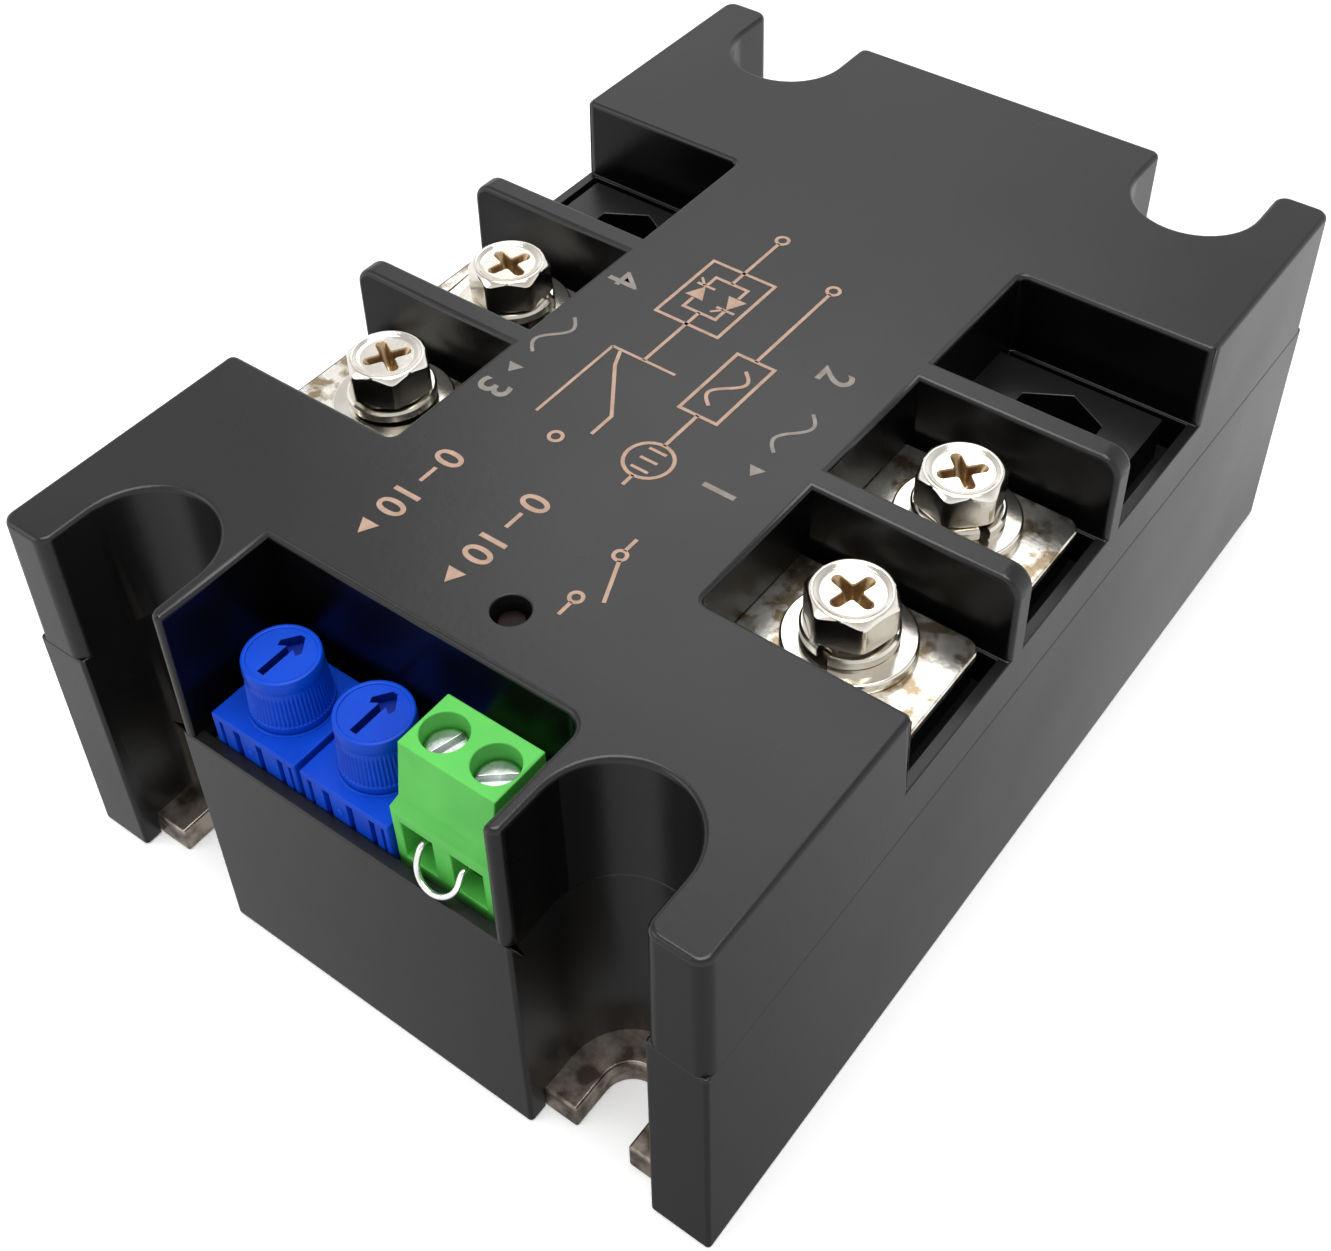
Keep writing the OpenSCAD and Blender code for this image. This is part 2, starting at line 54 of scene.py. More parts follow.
# case
HALF_L, HALF_W, TOP_Z = 52.5, 36.5, 41.0
PART_Z = 26.6                               # seam between the housing and the cover
LOWER_DRAFT, UPPER_DRAFT = 0.35, 0.30       # how far each half's walls lean in over its height
WALL_BAND_X, WALL_BAND_Y = 1.6, 2.2         # depth of the outer walls, corners included
OUTER_BAND = 1.4                            # depth within which an edge is on the outside
CELL_HALF_L, CELL_BACK = 25.65, 16.3        # ends and inner wall of a row of terminal cells
CELL_FRONT = 34.9                           # where the ribs between the cells start to round off
CELL_CORNER_R = 0.8                         # radius of the upright corners at both ends of a row
CELL_ZONE_X, CELL_ZONE_Y = 26.5, 15.0       # zone of edges that belong to the terminal cells
CELL_EDGE_LOW, CELL_EDGE_HIGH = 28.6, 33.2  # edges are nearly sharp between these, sharp below
TOP_EDGE_DEPTH = 2.2                        # depth under the top within which edges are soft
LAMP_HOLE_ZONE = 2.5                        # radius round the lamp hole's edges
BAY_BACK, BAY_FRONT, BAY_HALF = 36.0, 51.0, 18.1    # zone of the control bay's walls

# terminal hardware
SCREW_Y = 25.0
FLAT_Z, FLAT_T, FLAT_R = 34.04, 1.1, 5.7
SPRING_Z, SPRING_T, SPRING_R = 35.16, 1.6, 4.15
HEAD_Z, HEAD_H, HEAD_AF = 36.78, 3.5, 7.2
THREAD_R, THREAD_PITCH, THREAD_LOW = 2.48, 0.8, 28.8
BORE_R = 2.63
# side, number, x, hexagon angle, cross angle, spring washer split angle
TERMINALS = [
    ("input", 1, 17.1, 45, -15, 0),
    ("input", 2, 0.0, 12, -42, 63),
    ("output", 1, 17.1, 50, -30, 200),
    ("output", 2, 0.0, 8, -18, 110),
]

# control end
TRIMMER_X, TRIMMER_Y = 46.1, (-10.1, 0.0)
TRIMMER_Z, TRIMMER_TOP, TRIMMER_HALF = 25.2, 30.0, 4.765
KNOB_Z, KNOB_TOP = 30.15, 36.0
BLOCK_X, BLOCK_Y, BLOCK_HALF = 45.8, 10.0, 5.08
BLOCK_TOP_FROM, BLOCK_TOP_INSET = 33.0, 0.30    # the block is slimmer above this height
BLOCK_BROW, BLOCK_BROW_TO = (50.2, 33.8), (49.5, 33.3)  # x, z of the brow over the wire entries
BLOCK_LIP_X, BLOCK_LIP_TO = 50.9, 50.35         # front of the lip over the wire entries
CLAMPS = ((7.46, -15), (12.54, -50))            # y and slot angle of each clamp screw
CLAMP_SEAT, CLAMP_LOW = 36.12, -4.9             # underside of the heads, lower end below it
WIRE_Z, WIRE_R = 29.8, 0.27
LAMP_X, LAMP_Y = 35.0, 5.0

# printed marks
PRINT_H, PRINT_SINK = 0.03, 0.004
LINE_W, THIN_LINE_W = 0.34, 0.3
FIRST_LINE_Y, SECOND_LINE_Y = -4.9, 3.4         # the two lines of the circuit drawing


# ---------------------------------------------------------------- camera

def add_camera():
    eye = Vector((0.102136, 0.072897, 0.144053))
    right = Vector((-0.596285, 0.802615, -0.015936))
    up = Vector((-0.576131, -0.414031, 0.704735))
    back = Vector((0.559033, 0.429404, 0.709292))
    data = bpy.data.cameras.new("camera")
    data.sensor_width = 36
    data.lens = 48.73
    data.shift_x, data.shift_y = -0.0079, -0.0682
    data.clip_start, data.clip_end = 0.01, 20
    camera = bpy.data.objects.new("camera", data)
    turn = Matrix((right, up, back)).transposed().to_4x4()
    camera.matrix_world = Matrix.Translation(eye) @ turn
    bpy.context.scene.collection.objects.link(camera)
    bpy.context.scene.camera = camera


# ---------------------------------------------------------------- materials

# colours at two ends of a wandering tone, roughness range, and how coarse each pattern is
FINISHES = {
    "case_black": dict(tones=((0.0045, 0.0045, 0.0048), (0.0080, 0.0080, 0.0083)), scale=70,
                       rough=(0.22, 0.37), grain=(1400, 0.10), specular=0.42,
                       contrast=(0.15, 0.85)),
    # Darker, duller copy of case_black: painted shade on the walls inside the cells and the bay.
    "case_painted_shade": dict(tones=((0.0012, 0.0012, 0.0013), (0.0024, 0.0024, 0.0025)), scale=70,
                       rough=(0.22, 0.37), grain=(1400, 0.10), specular=0.17,
                       contrast=(0.15, 0.85)),
    "base_nickel": dict(tones=((0.09, 0.070, 0.055), (0.40, 0.345, 0.29)), scale=420,
                        rough=(0.30, 0.48), grain=(2500, 0.15), metallic=1, contrast=(0.38, 0.60)),
    "terminal_nickel": dict(tones=((0.36, 0.28, 0.18), (0.95, 0.91, 0.83)), scale=480,
                            rough=(0.16, 0.30), grain=(2200, 0.10), metallic=1,
                            contrast=(0.40, 0.52)),
    "screw_nickel": dict(tones=((0.74, 0.69, 0.60), (0.90, 0.87, 0.81)), scale=260,
                         rough=(0.10, 0.22), grain=(2600, 0.05), metallic=1),
    "recess_tan": dict(tones=((0.32, 0.22, 0.12), (0.56, 0.43, 0.27)), scale=700,
                       rough=(0.32, 0.45), grain=(2600, 0.08), metallic=1),
    "trimmer_blue": dict(tones=((0.000, 0.040, 0.42), (0.001, 0.058, 0.54)), scale=180,
                         rough=(0.32, 0.45), grain=(2400, 0.08), specular=0.16),
    # Darker blue: painted shade inside the knobs' sunk arrows.
    "arrow_painted_shade_blue": dict(tones=((0.000, 0.010, 0.17), (0.000, 0.016, 0.24)), scale=300,
                       rough=(0.40, 0.52), grain=(2400, 0.08), specular=0.20),
    "block_green": dict(tones=((0.070, 0.41, 0.060), (0.095, 0.51, 0.080)), scale=160,
                        rough=(0.34, 0.46), grain=(2200, 0.08), specular=0.32),
    "zinc_steel": dict(tones=((0.42, 0.45, 0.44), (0.78, 0.82, 0.80)), scale=500,
                       rough=(0.16, 0.32), grain=(2600, 0.08), metallic=1),
    "tinned_wire": dict(tones=((0.80, 0.80, 0.80), (0.93, 0.93, 0.92)), scale=600,
                        rough=(0.16, 0.28), grain=(3000, 0.05), metallic=1),
    "copper": dict(tones=((0.62, 0.24, 0.12), (0.84, 0.42, 0.26)), scale=240,
                   rough=(0.24, 0.42), grain=(2400, 0.08), metallic=1),
    "gold_pin": dict(tones=((0.76, 0.50, 0.14), (0.94, 0.70, 0.28)), scale=500,
                     rough=(0.18, 0.30), grain=(3000, 0.05), metallic=1),
    "ceramic": dict(tones=((0.66, 0.65, 0.61), (0.80, 0.79, 0.76)), scale=260,
                    rough=(0.42, 0.58), grain=(2600, 0.10)),
    "silicon": dict(tones=((0.10, 0.11, 0.13), (0.17, 0.18, 0.21)), scale=300,
                    rough=(0.18, 0.30), grain=(2600, 0.04), metallic=0.5),
    "board_laminate": dict(tones=((0.0035, 0.0095, 0.0060), (0.0060, 0.0170, 0.0100)), scale=220,
                           rough=(0.36, 0.50), grain=(1600, 0.10)),
    "chip_black": dict(tones=((0.012, 0.012, 0.013), (0.024, 0.024, 0.025)), scale=320,
                       rough=(0.48, 0.62), grain=(3200, 0.15)),
    "capacitor_sleeve": dict(tones=((0.010, 0.016, 0.080), (0.016, 0.026, 0.120)), scale=140,
                             rough=(0.26, 0.38), grain=(2000, 0.06)),
    "film_capacitor": dict(tones=((0.52, 0.30, 0.050), (0.66, 0.41, 0.085)), scale=170,
                           rough=(0.34, 0.48), grain=(2200, 0.08)),
    "resistor_body": dict(tones=((0.40, 0.28, 0.17), (0.54, 0.40, 0.26)), scale=220,
                          rough=(0.40, 0.56), grain=(2400, 0.10)),
    "varistor_coat": dict(tones=((0.010, 0.110, 0.150), (0.018, 0.170, 0.220)), scale=190,
                          rough=(0.28, 0.42), grain=(2000, 0.08)),
    "lamp_lens": dict(tones=((0.004, 0.0005, 0.0005), (0.007, 0.0008, 0.0007)), scale=240,
                      rough=(0.30, 0.40), grain=(2600, 0.03), specular=0.15),
    "marking_tan": dict(tones=((0.29, 0.185, 0.130), (0.40, 0.260, 0.190)), scale=900,
                        rough=(0.42, 0.58), grain=(3200, 0.12)),
    "marking_grey": dict(tones=((0.15, 0.132, 0.115), (0.22, 0.198, 0.175)), scale=900,
                         rough=(0.42, 0.58), grain=(3200, 0.12)),
    "floor_white": dict(tones=((0.86, 0.86, 0.86), (0.89, 0.89, 0.89)), scale=3,
                        rough=(0.75, 0.85), grain=(60, 0.02)),
}


def spread(tree, value, span, low, high):
    """Node output that goes from low to high while a value goes through a span."""
    ramp = tree.nodes.new("ShaderNodeMapRange")
    for socket, number in zip(("From Min", "From Max", "To Min", "To Max"), (*span, low, high)):
        ramp.inputs[socket].default_value = number
    tree.links.new(value, ramp.inputs["Value"])
    return ramp.outputs["Result"]


def add_material(name, tones, scale, rough, grain, metallic=0.0, specular=0.5,
                 contrast=(0.30, 0.70)):
    """Shader whose colour and roughness wander over the surface under a fine bumpy grain."""
    material = bpy.data.materials.new(name)
    material.use_nodes = True
    tree = material.node_tree
    shader = tree.nodes["Principled BSDF"]
    shader.inputs["Metallic"].default_value = metallic
    shader.inputs["Specular IOR Level"].default_value = specular
    place = tree.nodes.new("ShaderNodeTexCoord").outputs["Object"]

    def pattern(pattern_scale, detail):
        noise = tree.nodes.new("ShaderNodeTexNoise")
        noise.inputs["Scale"].default_value = pattern_scale
        noise.inputs["Detail"].default_value = detail
        tree.links.new(place, noise.inputs["Vector"])
        return noise.outputs["Fac"]

    mix = tree.nodes.new("ShaderNodeMix")
    mix.data_type = "RGBA"
    tree.links.new(spread(tree, pattern(scale, 6), contrast, 0, 1), mix.inputs["Factor"])
    colours = [socket for socket in mix.inputs if socket.type == "RGBA"]
    for socket, tone in zip(colours, tones):
        socket.default_value = (*tone, 1)
    result = [socket for socket in mix.outputs if socket.type == "RGBA"][0]
    tree.links.new(result, shader.inputs["Base Color"])
    tree.links.new(spread(tree, pattern(scale * 0.6, 3), (0.15, 0.85), *rough),
                   shader.inputs["Roughness"])
    bump = tree.nodes.new("ShaderNodeBump")
    bump.inputs["Strength"].default_value = grain[1]
    bump.inputs["Distance"].default_value = 0.0001
    tree.links.new(pattern(grain[0], 2), bump.inputs["Height"])
    tree.links.new(bump.outputs["Normal"], shader.inputs["Normal"])
    return material


# ---------------------------------------------------------------- mesh helpers

def mesh_of(bm, name="shape"):
    mesh = bpy.data.meshes.new(name)
    bm.to_mesh(mesh)
    bm.free()
    return mesh


def object_of(data, name):
    obj = bpy.data.objects.new(name, data)
    bpy.context.scene.collection.objects.link(obj)
    return obj


def applied(obj):
    """Bmesh of an object's final shape; the object itself is taken away."""
    shape = obj.evaluated_get(bpy.context.evaluated_depsgraph_get())
    bm = bmesh.new()
    bm.from_mesh(shape.to_mesh())
    shape.to_mesh_clear()
    store = bpy.data.meshes if obj.type == "MESH" else bpy.data.curves
    old = obj.data
    bpy.data.objects.remove(obj)
    store.remove(old)
    return bm


def joined(*parts):
    """One bmesh that holds all of these."""
    whole = bmesh.new()
    for part in parts:
        whole.from_mesh(mesh_of(part))
    return whole


def cut(bm, *cutters):
    """Takes the cutters' solids out of a solid."""
    for cutter in cutters:
        obj = object_of(mesh_of(bm), "cut_target")
        tool = object_of(mesh_of(cutter), "cut_tool")
        boolean = obj.modifiers.new("cut", "BOOLEAN")
        boolean.operation, boolean.solver, boolean.object = "DIFFERENCE", "EXACT", tool
        bm = applied(obj)
        tool_mesh = tool.data
        bpy.data.objects.remove(tool)
        bpy.data.meshes.remove(tool_mesh)
        bmesh.ops.remove_doubles(bm, verts=bm.verts, dist=1e-5)
    return bm


def rounded(bm, width, rule=None, segments=3):
    """Rounds the sharp edges. rule(edge, middle) gives each one's share of the width."""
    weight = bm.edges.layers.float.new("bevel_weight_edge")
    for edge in bm.edges:
        if len(edge.link_faces) == 2 and edge.calc_face_angle(0) > SHARP_ANGLE:
            middle = (edge.verts[0].co + edge.verts[1].co) / 2
            edge[weight] = rule(edge, middle) if rule else 1.0
    obj = object_of(mesh_of(bm), "rounded")
    bevel = obj.modifiers.new("round", "BEVEL")
    bevel.limit_method, bevel.width, bevel.segments = "WEIGHT", width, segments
    bevel.use_clamp_overlap = False
    return applied(obj)


def cad_shape(node):
    """A CAD node's shape in millimetres. Flat faces are whole, but for undersides with a long
    outline, which rounding would make cross itself."""
    bm = bmesh.new()
    bm.from_mesh(frame["nodes"][node].data)
    bm.transform(Matrix.Scale(1 / MM, 4))
    bmesh.ops.remove_doubles(bm, verts=bm.verts, dist=1e-4)
    bmesh.ops.dissolve_limit(bm, angle_limit=math.radians(0.5), verts=bm.verts, edges=bm.edges)
    undersides = [f for f in bm.faces if len(f.verts) > 60 and f.normal.z < -0.9]
    bmesh.ops.triangulate(bm, faces=undersides)
    return bm


def skin(rings, closed=False):
    """Solid through rings of points of equal count. closed joins the last ring to the first."""
    bm = bmesh.new()
    rows = [[bm.verts.new(p) for p in ring] for ring in rings]
    pairs = list(zip(rows, rows[1:])) + ([(rows[-1], rows[0])] if closed else [])
    for low, high in pairs:
        for i in range(len(low)):
            j = (i + 1) % len(low)
            bm.faces.new((low[i], low[j], high[j], high[i]))
    if not closed:
        bm.faces.new(rows[0][::-1])
        bm.faces.new(rows[-1])
    bmesh.ops.recalc_face_normals(bm, faces=bm.faces)
    return bm


def circle(radius, z, steps):
    turns = [2 * math.pi * i / steps for i in range(steps)]
    return [(radius * math.cos(t), radius * math.sin(t), z) for t in turns]


def box(low, high, edge=0.0):
    """Box from corner to corner, with its edges rounded by that much."""
    (x0, y0, z0), (x1, y1, z1) = low, high
    bm = skin([[(x0, y0, z), (x1, y0, z), (x1, y1, z), (x0, y1, z)] for z in (z0, z1)])
    return rounded(bm, edge) if edge else bm


def moved(bm, x=0.0, y=0.0, z=0.0, turn=0.0):
    bm.transform(Matrix.Translation((x, y, z)) @ Matrix.Rotation(math.radians(turn), 4, "Z"))
    return bm


def tube(path, radius):
    """Round wire along a path, with rounded ends."""
    steps = 14
    points = [Vector(p) for p in path]
    rings = []
    side = None
    for i, point in enumerate(points):
        along = (points[min(i + 1, len(points) - 1)] - points[max(i - 1, 0)]).normalized()
        if side is None:
            side = along.orthogonal().normalized()
        side = (side - along * side.dot(along)).normalized()
        other = along.cross(side)
        ring = [side * math.cos(t) + other * math.sin(t)
                for t in (2 * math.pi * k / steps for k in range(steps))]
        if i in (0, len(points) - 1):
            out = -along if i == 0 else along
            ends = [(0.5, 0.28), (0.87, 0.13), (1.0, 0.0)]
            stack = [[point + r * radius * w - out * radius * back for r in ring]
                     for w, back in ends]
            rings += stack if i == 0 else stack[::-1]
        else:
            rings.append([point + r * radius for r in ring])
    return skin(rings)


def piece(name, bm, body, slot, *nodes, material=None, recess=None):
    """Makes the shape an object in metres that rides on a CAD body and stands for CAD nodes.

    Faces with material index 1 take the recess finish, if there is one. On the cover and the
    knobs that finish is painted shade."""
    bm.transform(Matrix.Scale(MM, 4))
    mesh = mesh_of(bm, name)
    mesh.materials.append(MATERIALS[material or slot])
    if recess:
        mesh.materials.append(MATERIALS[recess])
    else:
        mesh.polygons.foreach_set("material_index", [0] * len(mesh.polygons))
    mesh.shade_smooth()
    mesh.set_sharp_from_angle(angle=SMOOTH_ANGLE)
    obj = object_of(mesh, name)
    shading = obj.modifiers.new("shading", "WEIGHTED_NORMAL")
    shading.keep_sharp = True
    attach(obj, body)
    if nodes:
        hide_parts(*nodes)
    return obj


# ---------------------------------------------------------------- case

def drafted(bm):
    """Leans the outer walls in towards the top, as a mould needs."""
    for v in bm.verts:
        share = min(v.co.z, PART_Z) / PART_Z
        lean = LOWER_DRAFT * share + UPPER_DRAFT * max(v.co.z - PART_Z, 0) / (TOP_Z - PART_Z)
        if abs(v.co.x) > HALF_L - WALL_BAND_X:
            v.co.x -= math.copysign(lean, v.co.x)
        if abs(v.co.y) > HALF_W - WALL_BAND_Y:
            v.co.y -= math.copysign(lean, v.co.y)
    return bm


def cell_corners(bm):
    """Rounds the upright corners at both ends of each row of terminal cells."""
    def upright(edge):
        low, high = (v.co for v in edge.verts)
        at_end = abs(abs(low.x) - CELL_HALF_L) < 0.05 and abs(low.y) > CELL_BACK - 0.05
        return at_end and (low - high).xy.length < 0.02 and abs(low.z - high.z) > 5

    bmesh.ops.bevel(bm, geom=[edge for edge in bm.edges if upright(edge)], offset=CELL_CORNER_R,
                    offset_type="OFFSET", segments=4, profile=0.5, affect="EDGES")
    return bm


def cover_edge(edge, middle):
    """Top edges are the softest, edges inside the cells and at the seam the sharpest."""
    if middle.z < PART_Z + 0.5:
        return 0.22 if abs(middle.z - PART_Z) < 0.3 and outside(middle) else 0.0
    if abs(middle.x) < CELL_ZONE_X and abs(middle.y) > CELL_ZONE_Y and middle.z < CELL_EDGE_HIGH:
        return 0.25 if middle.z > CELL_EDGE_LOW else 0.0
    if math.hypot(middle.x - LAMP_X, middle.y - LAMP_Y) < LAMP_HOLE_ZONE:
        return 0.3 if middle.z > TOP_Z - 0.1 else 0.0
    return 1.0 if middle.z > TOP_Z - TOP_EDGE_DEPTH or outside(middle) else 0.0


def outside(point):
    """True close to the case's outer walls."""
    return abs(point.x) > HALF_L - OUTER_BAND or abs(point.y) > HALF_W - OUTER_BAND


def in_painted_shade(face):
    """True on the upright walls inside the terminal cells and the control bay, which take painted
    shade.
    """
    middle = face.calc_center_median()
    if abs(face.normal.z) > 0.3 or middle.z > TOP_Z - 0.8:
        return False
    in_cell = (abs(middle.x) < CELL_HALF_L + 0.3
               and CELL_BACK - 0.3 < abs(middle.y) < CELL_FRONT)
    in_bay = BAY_BACK < middle.x < BAY_FRONT and abs(middle.y) < BAY_HALF
    return in_cell or in_bay


def add_case():
    cover = rounded(drafted(cell_corners(cad_shape("top_cover"))), 0.5, cover_edge)
    cover.normal_update()
    # The upright walls inside the terminal cells and the control bay take the darker black:
    # painted shade.
    for face in cover.faces:
        face.material_index = 1 if in_painted_shade(face) else 0
    piece("cover_shell", cover, "case", "case_black", "top_cover", recess="case_painted_shade")

    def housing_edge(edge, middle):
        return 1.0 if outside(middle) or middle.z > PART_Z - 0.2 else 0.0

    housing = rounded(drafted(cad_shape("lower_housing")), 0.22, housing_edge)
    piece("housing_shell", housing, "case", "case_black", "lower_housing")
    plate = rounded(cad_shape("base_plate"), 0.25)
    piece("mounting_plate", plate, "case", "base_nickel", "base_plate")


# ---------------------------------------------------------------- terminal hardware

def washer():
    edge = 0.22
    outline = []
    for radius, z, start in ((FLAT_R, 0, -90), (FLAT_R, FLAT_T, 0),
                             (BORE_R, FLAT_T, 90), (BORE_R, 0, 180)):
        inward = -1 if radius == FLAT_R else 1
        centre = (radius + inward * edge, z + (edge if z == 0 else -edge))
        for k in range(4):
            a = math.radians(start + 30 * k)
            outline.append((centre[0] + edge * math.cos(a), centre[1] + edge * math.sin(a)))
    return skin([circle(r, z, 96) for r, z in outline], closed=True)


def spring_ring(split):
    """Split ring whose ends stand a little apart, so it rises once around."""
    thick, gap_angle, steps, corner = 1.12, 15.0, 90, 0.2
    rise = SPRING_T - thick
    inner, outer = BORE_R, SPRING_R
    section = [(inner + corner, 0), (outer - corner, 0), (outer, corner), (outer, thick - corner),
               (outer - corner, thick), (inner + corner, thick), (inner, thick - corner),
               (inner, corner)]
    rings = []
    for i in range(steps + 1):
        t = i / steps
        a = math.radians(split + gap_angle / 2 + t * (360 - gap_angle))
        rings.append([(r * math.cos(a), r * math.sin(a), z + rise * t) for r, z in section])
    return skin(rings)


def hexagon_points():
    """Directions and radii round a hexagon with rounded corners."""
    corner_r = 0.9
    points = []
    inner = (HEAD_AF / 2 - corner_r) / math.cos(math.radians(30))
    for k in range(6):
        centre = math.radians(60 * k)
        for s in range(-2, 3):
            a = centre + math.radians(14 * s)
            x = inner * math.cos(centre) + corner_r * math.cos(a)
            y = inner * math.sin(centre) + corner_r * math.sin(a)
            points.append((math.atan2(y, x), math.hypot(x, y)))
        for s in range(1, 8):
            a = math.radians(60 * k + 6 + 48 * s / 8)
            points.append((a, HEAD_AF / 2 / math.cos(a - math.radians(60 * k + 30))))
    return points


def cross_cutter(top):
    """Cross with round wing ends that narrows towards its tip."""
    rings = []
    # height, reach and half width of the wings
    layers = [(top + 0.6, 2.35, 0.60), (top, 2.30, 0.56), (top - 0.14, 2.12, 0.44),
              (top - 1.0, 1.70, 0.40), (top - 1.9, 1.05, 0.34), (top - 2.2, 0.60, 0.20)]
    for z, length, half in layers:
        ring = []
        for k in range(4):
            turn = math.radians(90 * k)
            spot = [(half + 0.16, -half)]
            spot += [(length - half + half * math.cos(math.radians(a)),
                      half * math.sin(math.radians(a))) for a in range(-75, 76, 30)]
            spot += [(half + 0.16, half)]
            ring += [(x * math.cos(turn) - y * math.sin(turn),
                      x * math.sin(turn) + y * math.cos(turn), z) for x, y in spot]
        rings.append(ring)
    return skin(rings[::-1])


def hexagon_head(cross_angle):
    """Chamfered hexagon head with a rim round a shallow dish and a cross recess."""
    points = hexagon_points()
    flat, rim, top = HEAD_AF / 2, 3.42, HEAD_H

    def around(radius, z):
        return [(radius * math.cos(a), radius * math.sin(a), z) for a, _ in points]

    def on_hexagon(height, share=1.0):
        return [(share * r * math.cos(a), share * r * math.sin(a), height(share * r))
                for a, r in points]

    rings = [
        around(flat - 0.3, 0.0),
        around(flat - 0.08, 0.05),
        on_hexagon(lambda r: 0.10 + 0.45 * (r - flat)),
        on_hexagon(lambda r: 0.26 + 0.45 * (r - flat)),
        on_hexagon(lambda r: top - 0.32 - 0.62 * (r - rim)),
        on_hexagon(lambda r: top - 0.20 - 0.60 * (r - rim), 0.98),
        around(rim + 0.05, top - 0.08),
        around(rim - 0.08, top - 0.01),
        around(rim - 0.20, top),
        around(rim - 0.34, top - 0.05),
        around(rim - 0.50, top - 0.20),
        around(rim - 0.70, top - 0.26),
        around(2.45, top - 0.28),
    ]
    head = cut(skin(rings), moved(cross_cutter(top - 0.28), turn=cross_angle))
    for face in head.faces:
        middle = face.calc_center_median()
        sunk = math.hypot(middle.x, middle.y) < 2.44 and 0.5 < middle.z < top - 0.33
        face.material_index = 1 if sunk else 0
    return head


def threaded_shank(length):
    """Threaded rod that ends in a chamfer."""
    steps, depth, slice_h = 40, 0.42, 0.1
    count = int(length / slice_h)
    rings = []
    for i in range(count + 1):
        z = length * i / count
        ring = []
        for k in range(steps):
            phase = (z / THREAD_PITCH - k / steps) % 1
            ridge = min(1.0, max(0.0, 1.5 - 3.2 * abs(phase - 0.5)))
            r = THREAD_R - depth + depth * ridge
            r = min(r, THREAD_R - depth - 0.1 + z) if z < 0.6 else r
            a = 2 * math.pi * k / steps
            ring.append((r * math.cos(a), r * math.sin(a), z))
        rings.append(ring)
    return skin(rings)


def add_terminals():
    for side, number, x, hexagon_angle, cross_angle, split in TERMINALS:
        y = SCREW_Y if side == "input" else -SCREW_Y
        tag = f"{side}_{number}"
        terminal = f"{side}_terminal_{number}"
        bar = rounded(cad_shape(terminal), 0.2)
        piece(f"bar_{tag}", bar, "case", "terminal_nickel", terminal)
        washers = f"{side}_washers_{number}"
        piece(f"flat_washer_{tag}", moved(washer(), x, y, FLAT_Z), washers, "screw_nickel",
              f"{side}_flat_washer_{number}")
        piece(f"spring_washer_{tag}", moved(spring_ring(split), x, y, SPRING_Z), washers,
              "screw_nickel", f"{side}_spring_washer_{number}")
        head = moved(hexagon_head(cross_angle - hexagon_angle), x, y, HEAD_Z, hexagon_angle)
        shank = moved(threaded_shank(HEAD_Z + 0.05 - THREAD_LOW), x, y, THREAD_LOW)
        piece(f"screw_{tag}", joined(head, shank), f"{side}_screw_{number}", "screw_nickel",
              f"{side}_screw_{number}", recess="recess_tan")


# ---------------------------------------------------------------- trimmers

def knob():
    """Fluted knob with a rimmed top and an arrow sunk in it; the arrow points along -X."""
    flutes, steps = 60, 420
    height = KNOB_TOP - KNOB_Z

    def ring(radius, z, depth=0.0):
        points = []
        for k in range(steps):
            a = 2 * math.pi * k / steps
            r = radius - depth * (0.5 - 0.5 * math.cos(flutes * a)) ** 0.8
            points.append((r * math.cos(a), r * math.sin(a), z))
        return points

    stem = 2.45
    # radius, height and flute depth of each ring, from the stem up
    rings = [
        ring(stem - 0.2, -3.0), ring(stem, -2.8), ring(stem, 0.0), ring(3.35, 0.0),
        ring(3.52, 0.06), ring(3.60, 0.22), ring(3.59, 0.75), ring(3.56, 0.85, 0.13),
        ring(3.35, 3.70, 0.13), ring(3.31, 3.90, 0.04), ring(3.24, 4.32), ring(3.22, 4.45),
        ring(3.30, 4.55), ring(3.33, 4.70), ring(3.30, height - 0.22), ring(3.25, height - 0.07),
        ring(3.14, height), ring(2.98, height), ring(2.90, height - 0.04),
        ring(2.86, height - 0.13),
    ]
    shaft, head_back, head_wide = 0.36, -0.55, 1.22
    tip, tail = -2.45, 2.35
    outline = [(tail, -shaft), (tail, shaft), (head_back - 0.4, shaft),
               (head_back, head_wide * 0.82), (head_back - 0.55, head_wide),
               (tip, 0.25), (tip, -0.25),
               (head_back - 0.55, -head_wide), (head_back, -head_wide * 0.82),
               (head_back - 0.4, -shaft)]
    arrow = skin([[(x, y, z) for x, y in outline] for z in (height - 1.1, height + 0.5)])
    shape = cut(skin(rings), arrow)
    # Faces deep in the sunk arrow take the darker blue: painted shade.
    for face in shape.faces:
        middle = face.calc_center_median()
        sunk = middle.z < height - 0.35 and math.hypot(middle.x, middle.y) < 2.5 and middle.z > 2
        face.material_index = 1 if sunk else 0
    return shape


